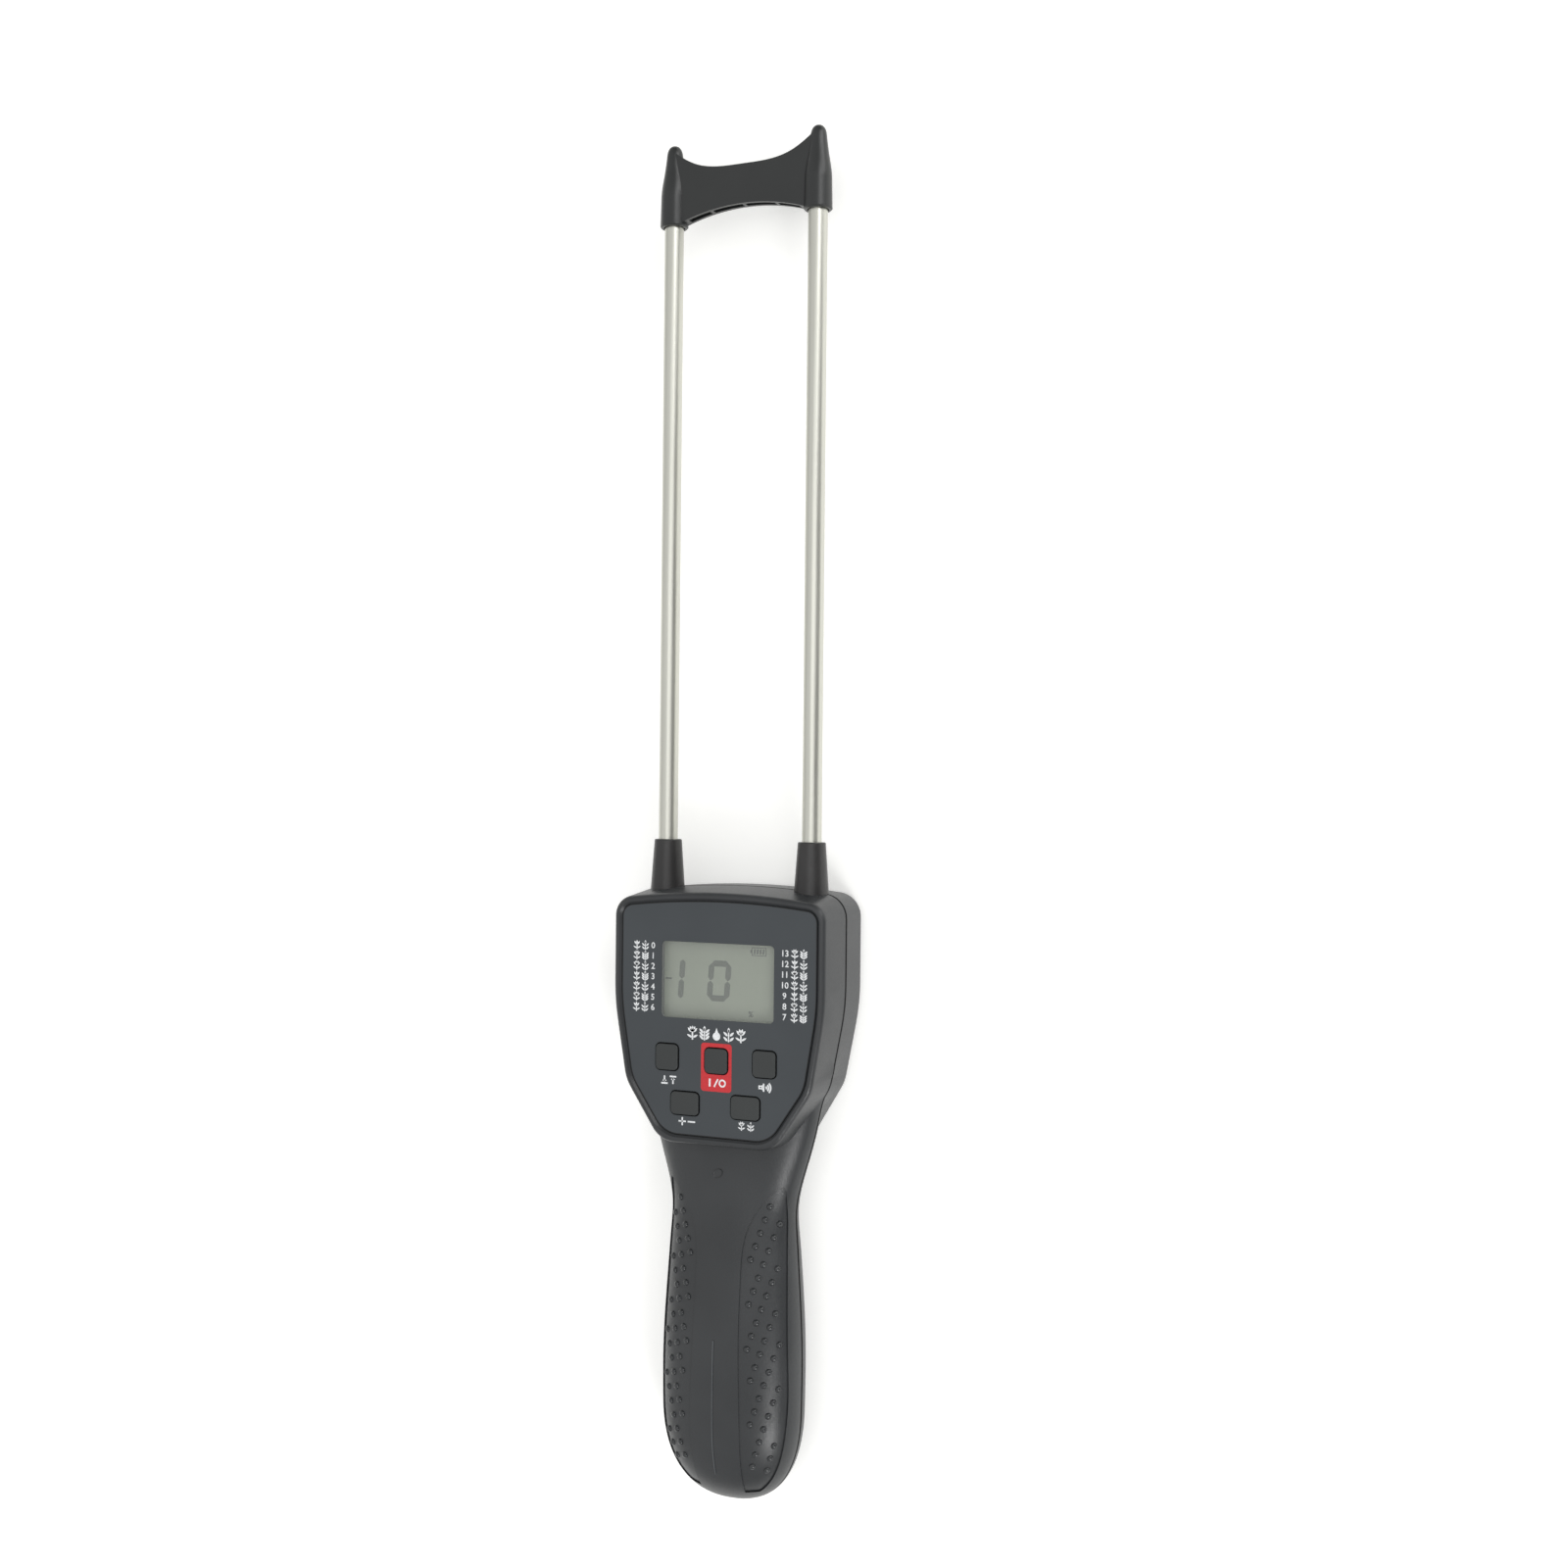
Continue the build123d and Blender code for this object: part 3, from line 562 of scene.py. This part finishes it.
def inkBlock(x, y, width, height, corner=0.0, turn=0.0, segments=3):
    # a bar of ink, its corners rounded or, with one segment, cut off
    deselect()
    bpy.ops.mesh.primitive_plane_add(size=mm)
    block = bpy.context.object
    block.scale = (width, height, 1)
    settle(block)
    if corner:
        bpy.ops.object.mode_set(mode="EDIT")
        bpy.ops.mesh.select_all(action="SELECT")
        bpy.ops.mesh.bevel(offset=corner * mm, segments=segments, affect="VERTICES")
        bpy.ops.object.mode_set(mode="OBJECT")
    block.location = (x * mm, y * mm, 0)
    block.rotation_euler = (0, 0, math.radians(turn))
    settle(block)
    return block


def inkDisc(x, y, width, height, point=0.0, turn=0.0):
    # an oval of ink; point draws its upper end out into a tip
    deselect()
    bpy.ops.mesh.primitive_circle_add(vertices=16, radius=0.5 * mm, fill_type="NGON")
    disc = bpy.context.object
    disc.scale = (width, height, 1)
    settle(disc)
    if point:
        bpy.ops.object.mode_set(mode="EDIT")
        selectPoints(disc, lambda place: place.y > 0.49 * height * mm)
        bpy.ops.transform.translate(value=(0, point * mm, 0))
        bpy.ops.object.mode_set(mode="OBJECT")
    disc.location = (x * mm, y * mm, 0)
    disc.rotation_euler = (0, 0, math.radians(turn))
    settle(disc)
    return disc


def inkRing(x, y, size, stroke, keep=180.0):
    # a ring of ink, or only the part within keep degrees of +X
    deselect()
    bpy.ops.mesh.primitive_circle_add(vertices=32, radius=size / 2 * mm, fill_type="NGON")
    ring = bpy.context.object
    bpy.ops.object.mode_set(mode="EDIT")
    bpy.ops.mesh.select_all(action="SELECT")
    bpy.ops.mesh.inset(thickness=stroke * mm)
    bpy.ops.mesh.delete(type="FACE")
    if keep < 180:
        selectFaces(ring, lambda centre, facing: abs(math.degrees(math.atan2(centre.y, centre.x))) > keep)
        bpy.ops.mesh.delete(type="FACE")
    bpy.ops.object.mode_set(mode="OBJECT")
    ring.location = (x * mm, y * mm, 0)
    settle(ring)
    return ring


def inkNumber(words, x, y, height, bold=0.05):
    deselect()
    bpy.ops.object.text_add()
    number = bpy.context.object
    number.data.body = words
    number.data.size = height / 0.72 * mm
    number.data.offset = bold * mm
    number.data.align_x = "CENTER"
    number.data.align_y = "CENTER"
    number.data.resolution_u = 3
    bpy.ops.object.convert(target="MESH")
    number = bpy.context.object
    number.location = (x * mm, y * mm, 0)
    settle(number)
    return number


def sprayMark(x, y, size, grains):
    # an ear of grain: a stalk with a fan of pointed seeds
    # every share below is of the mark's size
    marks = [inkBlock(x, y - 0.22 * size, 0.12 * size, 0.56 * size)]
    for i in range(grains):
        lean = (i - (grains - 1) / 2) * 120 / grains
        swing = math.radians(lean)
        reach = 0.27 * size
        place = (x - reach * math.sin(swing), y + 0.02 * size + reach * math.cos(swing))
        marks.append(inkDisc(*place, 0.19 * size, 0.40 * size, 0.06 * size, lean))
    for side in (-1, 1):
        marks.append(inkDisc(x + side * 0.22 * size, y - 0.24 * size, 0.15 * size, 0.42 * size, 0.05 * size,
                             -side * 62))
    return marks


def leafMark(x, y, size, pairs):
    # a stem with pairs of seeds on both sides and one on top
    marks = [inkBlock(x, y - 0.05 * size, 0.1 * size, 0.9 * size)]
    for i in range(pairs):
        level = y - 0.36 * size + 0.72 * size * i / pairs
        for side in (-1, 1):
            marks.append(inkDisc(x + side * 0.24 * size, level + 0.07 * size, 0.17 * size, 0.40 * size,
                                 0.05 * size, -side * 48))
    marks.append(inkDisc(x, y + 0.36 * size, 0.2 * size, 0.32 * size, 0.05 * size))
    return marks


def printInk(marks, name, finish, z, film):
    piece = joinAll(marks, name)
    raiseInk(piece, z, film)
    dress(piece, finish)
    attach(piece, "casing")
    return piece


facePrint = {
    "film": 0.03,             # mm
    "digitHeight": 1.9,
    "markSize": 2.8,
    "topRow": -39.8,
    "rowStep": 3.15,
    "leftDigits": -21.8,      # x of the columns
    "leftMarks": (-27.4, -24.5),
    "rightDigits": 22.2,
    "rightMarks": (25.4, 28.3),
    "rightDrop": 0.45,        # the right column starts this much lower
    "titleY": -65.6,
    "titleStep": 4.05,
    "titleSize": 4.1,
    "borderWidth": 0.28,      # of the painted shade line along the edge
}
faceZ = topOf("panel_overlay")


def printBorder():
    # painted shade: a near-black line along the edge of the faceplate, where it meets the rim; it follows the
    # rim of its top face, and not the rims of its holes
    face = mergedCopy("panel_overlay", "faceGapShade", 40)
    bpy.ops.object.mode_set(mode="EDIT")
    selectFaces(face, lambda centre, facing: facing.z < 0.9 or centre.z < (faceZ - 0.05) * mm)
    bpy.ops.mesh.delete(type="FACE")
    bpy.ops.mesh.select_all(action="SELECT")
    bpy.ops.mesh.inset(thickness=facePrint["borderWidth"] * mm, use_boundary=True)
    bpy.ops.mesh.delete(type="FACE")
    bpy.ops.mesh.select_all(action="SELECT")
    bpy.ops.mesh.separate(type="LOOSE")
    bpy.ops.object.mode_set(mode="OBJECT")
    rims = sorted(bpy.context.selected_objects, key=lambda rim: rim.dimensions.y)
    border = rims.pop()
    for rim in rims:
        bpy.data.objects.remove(rim)
    makeActive(border)
    bpy.ops.object.mode_set(mode="EDIT")
    bpy.ops.mesh.select_all(action="SELECT")
    bpy.ops.transform.translate(value=(0, 0, -faceZ * mm))
    bpy.ops.object.mode_set(mode="OBJECT")
    printInk([border], "faceGapShade", gapShadeInk, faceZ, facePrint["film"])


def printScale():
    # numbers 0 to 6 down the left side and 13 to 7 down the right, with a crop mark beside each
    marks = []
    for row in range(7):
        y = facePrint["topRow"] - row * facePrint["rowStep"]
        columns = [(row, y, facePrint["leftDigits"], facePrint["leftMarks"]),
                   (13 - row, y - facePrint["rightDrop"], facePrint["rightDigits"], facePrint["rightMarks"])]
        for number, level, digitX, markX in columns:
            marks.append(inkNumber(str(number), digitX, level, facePrint["digitHeight"]))
            marks += sprayMark(markX[0], level, facePrint["markSize"], 3 + number % 3)
            marks += leafMark(markX[1], level, facePrint["markSize"], 2 + number % 2)
    printInk(marks, "scalePrint", whiteInk, faceZ, facePrint["film"])


def printTitle():
    # a row of five marks: ear, leaf, drop, leaf, ear
    y, size, step = facePrint["titleY"], facePrint["titleSize"], facePrint["titleStep"]
    marks = sprayMark(-2 * step, y, size, 5) + leafMark(-step, y, size, 3)
    marks.append(inkDisc(0, y - 0.14 * size, 0.62 * size, 0.62 * size, 0.32 * size))
    marks += leafMark(step, y, size, 2) + sprayMark(2 * step, y, size, 4)
    printInk(marks, "titlePrint", whiteInk, faceZ, facePrint["film"])


keyPrint = {
    # mm from each key's middle to the middle of its mark
    "shift": {"limit": (0.6, -7.0), "power": (0.0, -6.6), "voice": (0.7, -6.9),
              "adjust": (0.7, -5.5), "crop": (0.3, -5.5)},
    "tall": 2.4,
    "stroke": 0.48,
    "stopApart": 1.45,        # half of the way between the two marks of a pair
    "stopWidth": 2.2,
    "soundRings": (1.6, 3.0, 4.4),
    "soundKeep": 42,          # degrees of each ring on both sides of its middle
    "signApart": 1.55,
    "signBar": 0.45,
    "signWidth": 2.5,
    "cropApart": 1.5,
    "cropSize": 2.7,
    "powerApart": 2.1,
    "slashTurn": -28,         # degrees
    "fieldTop": -68.3,
    "fieldBottom": -82.85,
    "fieldHalfWidth": 5.1,
    "fieldCorner": 1.0,
    "keyGap": 0.3,
    "keyCorner": 1.8,         # of the hole for the power key
}


def markSpot(key):
    x, y = middleOf("key_" + key)
    across, along = keyPrint["shift"][key]
    return x + across, y + along


def printKeyMarks():
    tall, stroke = keyPrint["tall"], keyPrint["stroke"]
    # limit: an upper and a lower end stop, each with an arrow head
    x, y = markSpot("limit")
    marks = []
    for side in (-1, 1):
        middle = x + side * keyPrint["stopApart"]
        marks.append(inkBlock(middle, y + side * 0.45 * tall, keyPrint["stopWidth"], stroke))
        marks.append(inkBlock(middle, y - side * 0.1 * tall, stroke, 0.8 * tall))
        marks.append(inkDisc(middle, y + side * 0.1 * tall, 1.3, 0.5, 0.35, 0 if side > 0 else 180))
    # voice: a small speaker and its sound
    x, y = markSpot("voice")
    marks.append(inkBlock(x - 2.1, y, 0.9, 1.1))
    marks.append(inkDisc(x - 1.3, y, 1.5, 0.6, 0.7, 90))
    marks.append(inkBlock(x - 0.85, y, 0.5, tall))
    for size in keyPrint["soundRings"]:
        marks.append(inkRing(x - 0.5, y, size, stroke, keyPrint["soundKeep"]))
    # adjust: plus and minus
    x, y = markSpot("adjust")
    apart, bar, wide = keyPrint["signApart"], keyPrint["signBar"], keyPrint["signWidth"]
    marks += [inkBlock(x - apart, y, wide, bar), inkBlock(x - apart, y, bar, wide)]
    marks.append(inkBlock(x + apart, y, wide, bar))
    # crop: an ear and a leaf
    x, y = markSpot("crop")
    apart, size = keyPrint["cropApart"], keyPrint["cropSize"]
    marks += sprayMark(x - apart, y, size, 4) + leafMark(x + apart, y, size, 2)
    printInk(marks, "keyPrint", whiteInk, faceZ, facePrint["film"])


def printPowerField():
    # red field round the power key, with the key's hole cut out of it
    top, bottom, half = keyPrint["fieldTop"], keyPrint["fieldBottom"], keyPrint["fieldHalfWidth"]
    field = inkBlock(0, (top + bottom) / 2, 2 * half, top - bottom, keyPrint["fieldCorner"], segments=5)
    printInk([field], "powerField", redInk, faceZ, facePrint["film"])
    holeWidth, holeHeight = (side + 2 * keyPrint["keyGap"] for side in topSizeOf("key_power"))
    cutter = inkBlock(*middleOf("key_power"), holeWidth, holeHeight, keyPrint["keyCorner"], segments=6)
    raiseInk(cutter, faceZ - 1, 2)
    cut = field.modifiers.new("key hole", "BOOLEAN")
    cut.object = cutter
    cut.solver = "EXACT"
    applyModifiers(field)
    bpy.data.objects.remove(cutter)
    x, y = markSpot("power")
    tall, stroke, apart = keyPrint["tall"], keyPrint["stroke"], keyPrint["powerApart"]
    marks = [inkBlock(x - apart, y, stroke + 0.1, tall),
             inkBlock(x, y, stroke, tall + 0.3, turn=keyPrint["slashTurn"]),
             inkRing(x + apart, y, tall, stroke)]
    printInk(marks, "powerPrint", whiteInk, faceZ + facePrint["film"], facePrint["film"])


printBorder()
printScale()
printTitle()
printKeyMarks()
printPowerField()
print("front print ready")


# display

display = {
    "film": 0.03,             # mm
    "stroke": 1.85,
    "mitre": 0.42,            # share of the stroke that is cut off a bar's corners
    "lean": -4.0,             # degrees that the figures lean
    "top": -43.6,
    "bottom": -56.0,
    "oneX": -13.4,
    "zeroX": -0.7,
    "zeroWidth": 7.6,
    "segmentGap": 0.25,
    "batteryPlace": (12.5, -40.4),
    "batterySize": (4.6, 2.3),
    "batteryLine": 0.25,
    "poleSize": (0.45, 1.0),
    "cells": 4,
    "firstCell": -1.45,
    "cellStep": 0.97,
    "cellSize": (0.6, 1.5),
    "cellLean": -8,
    "percentPlace": (10.0, -59.3),
    "percentHeight": 1.7,
    "minusX": -17.8,
    "minusSize": (2.1, 0.55),
}
glassZ = topOf("lcd_glass")


def segment(x, y, width, height):
    # one mitred bar of a figure, moved sideways so that the figure leans
    shift = (y - (display["top"] + display["bottom"]) / 2) * math.tan(math.radians(-display["lean"]))
    turn = display["lean"] if height > width else 0
    return inkBlock(x + shift, y, width, height, display["stroke"] * display["mitre"], turn, segments=1)


def drawFigures():
    top, bottom, stroke = display["top"], display["bottom"], display["stroke"]
    middle = (top + bottom) / 2
    half = (top - bottom) / 2 - stroke / 2
    tall = half - display["segmentGap"]
    bars = []
    for end in (-1, 1):
        # the one's two bars are a little longer, because it has no bars across its ends
        level = middle + end * (half / 2 + 0.2 * stroke)
        bars.append(segment(display["oneX"], level, stroke, tall + 0.4 * stroke))
        for side in (-1, 1):
            x = display["zeroX"] + side * (display["zeroWidth"] - stroke) / 2
            bars.append(segment(x, middle + end * half / 2, stroke, tall))
    across = display["zeroWidth"] - stroke - display["segmentGap"]
    for level in (middle + half, middle - half):
        bars.append(segment(display["zeroX"], level, across, stroke))
    printInk(bars, "displayFigures", lcdDark, glassZ, display["film"])


def drawIcons():
    # battery: a box with a pole on its left and four leaning cells
    x, y = display["batteryPlace"]
    width, height = display["batterySize"]
    line, pole = display["batteryLine"], display["poleSize"]
    marks = []
    for side in (-1, 1):
        marks.append(inkBlock(x, y + side * height / 2, width, line))
        marks.append(inkBlock(x + side * width / 2, y, line, height + line))
    marks.append(inkBlock(x - width / 2 - line / 2 - pole[0] / 2, y, *pole))
    for i in range(display["cells"]):
        cellX = x + display["firstCell"] + display["cellStep"] * i
        marks.append(inkBlock(cellX, y, *display["cellSize"], turn=display["cellLean"]))
    # percent sign and minus
    marks.append(inkNumber("%", *display["percentPlace"], display["percentHeight"]))
    marks.append(inkBlock(display["minusX"], (display["top"] + display["bottom"]) / 2, *display["minusSize"]))
    printInk(marks, "displayIcons", lcdFaint, glassZ, display["film"])


drawFigures()
drawIcons()
print("display ready")


# carried-over nodes

nodeFinish = {
    "panel_overlay": faceplate, "display_window": acrylic, "lcd_glass": lcdCell, "lcd_holder": blackAbs,
    "lcd_connectors": stripRubber, "main_board": boardGreen, "controller_chip": blackAbs,
    "board_capacitors": sleeve, "tact_switches": blackAbs, "speaker_frame": blackAbs,
    "speaker_magnet": zincSteel, "speaker_cone": blackAbs, "left_rod": steelRod, "right_rod": steelRod,
    "left_collar": collarNylon, "right_collar": collarNylon, "tip_cap": capNylon, "rod_clamps": blackAbs,
    "clamp_screws": zincSteel, "rod_terminals": tinnedBrass, "case_screws": zincSteel,
    "board_screws": zincSteel, "battery_springs": nickelPlate, "battery_contacts": nickelPlate,
    "battery_tray": blackAbs, "battery_1": cellWrap, "battery_2": cellWrap, "battery_3": cellWrap,
    "battery_4": cellWrap,
}
for key in ("power", "limit", "voice", "adjust", "crop"):
    nodeFinish["plunger_" + key] = plungerPlastic
for nodeName, finish in nodeFinish.items():
    dress(nodes[nodeName], finish)
print("nodes dressed")


# set

studio = {
    "floorZ": -0.0002,
    "floorHex": "#f4f4f2",
    "floorGlow": 0.38,
    "brightWay": (-0.54, -0.16, 0.82),    # the white round the set is strongest this way
    "dim": 0.20,              # its strength square to that way
    "bright": 0.90,           # and along it
    # place and aim in metres, size across and up, watts
    "lights": {
        "keyTop": ((0.33, 0.15, 1.13), (0, 0.05, 0.01), (0.6, 0.9), 1.8),
        "lowRight": ((0.76, -0.80, 0.72), (0.02, -0.11, 0.015), (0.35, 0.35), 5.5),
        "highRight": ((0.90, 0.80, 0.60), (0, 0.19, 0.015), (0.40, 1.2), 6.0),
    },
    "cameraPlace": (0.2360, 0.0090, 0.5174),
    "yaw": 23.74, "pitch": -0.11, "roll": 0.57,   # degrees
    "lens": 41.29,
}

deselect()
bpy.ops.mesh.primitive_plane_add(size=6, location=(0, 0, studio["floorZ"]))
floor = bpy.context.object
floor.name = "studioFloor"
settle(floor)
paper, tree, shader = newMaterial("white seamless paper")
place = addNode(tree, "ShaderNodeTexCoord").outputs["Object"]
fibre = addNode(tree, "ShaderNodeTexNoise", Scale=900.0, Detail=2.0, links={"Vector": place})
fibreBump = addNode(tree, "ShaderNodeBump", Strength=0.05, Distance=0.0001,
                    links={"Height": fibre.outputs["Fac"]})
tree.links.new(fibreBump.outputs["Normal"], shader.inputs["Normal"])
shader.inputs["Base Color"].default_value = linear(studio["floorHex"])
shader.inputs["Roughness"].default_value = 0.9
shader.inputs["Emission Color"].default_value = linear(studio["floorHex"])
shader.inputs["Emission Strength"].default_value = studio["floorGlow"]
dress(floor, paper)


def softBox(name, place, aim, size, power):
    # an area light that faces its aim
    lamp = bpy.data.lights.new(name, "AREA")
    lamp.shape = "RECTANGLE"
    lamp.size, lamp.size_y = size
    lamp.energy = power
    box = bpy.data.objects.new(name, lamp)
    bpy.context.scene.collection.objects.link(box)
    box.location = place
    box.rotation_euler = (Vector(aim) - Vector(place)).to_track_quat("-Z", "Y").to_euler()
    return box


for name, (place, aim, size, power) in studio["lights"].items():
    softBox(name, place, aim, size, power)

# overhead on the left the white is strongest, towards the horizon it falls off
world = bpy.data.worlds.new("softWhite")
bpy.context.scene.world = world
world.use_nodes = True
sky = world.node_tree
way = addNode(sky, "ShaderNodeTexCoord").outputs["Generated"]
along = addNode(sky, "ShaderNodeVectorMath", {"operation": "DOT_PRODUCT"}, {0: way})
along.inputs[1].default_value = studio["brightWay"]
fade = addNode(sky, "ShaderNodeMapRange", From_Min=0.0, From_Max=1.0, To_Min=studio["dim"],
               To_Max=studio["bright"], links={"Value": along.outputs["Value"]})
sky.links.new(fade.outputs["Result"], sky.nodes["Background"].inputs["Strength"])
sky.nodes["Background"].inputs["Color"].default_value = (1, 1, 1, 1)

yaw, pitch, roll = (math.radians(studio[k]) for k in ("yaw", "pitch", "roll"))
back = Vector((math.sin(yaw) * math.cos(pitch), math.sin(pitch), math.cos(yaw) * math.cos(pitch)))
side = Vector((math.cos(yaw), 0, -math.sin(yaw)))
up = back.cross(side)
right = math.cos(roll) * side + math.sin(roll) * up
upward = -math.sin(roll) * side + math.cos(roll) * up
lensData = bpy.data.cameras.new("camera")
camera = bpy.data.objects.new("camera", lensData)
bpy.context.scene.collection.objects.link(camera)
turned = Matrix((right, upward, back)).transposed().to_4x4()
camera.matrix_world = Matrix.Translation(studio["cameraPlace"]) @ turned
lensData.sensor_width = 36
lensData.lens = studio["lens"]
lensData.clip_start = 0.01
bpy.context.scene.camera = camera
bpy.context.scene.view_settings.view_transform = "Standard"
print("set ready")
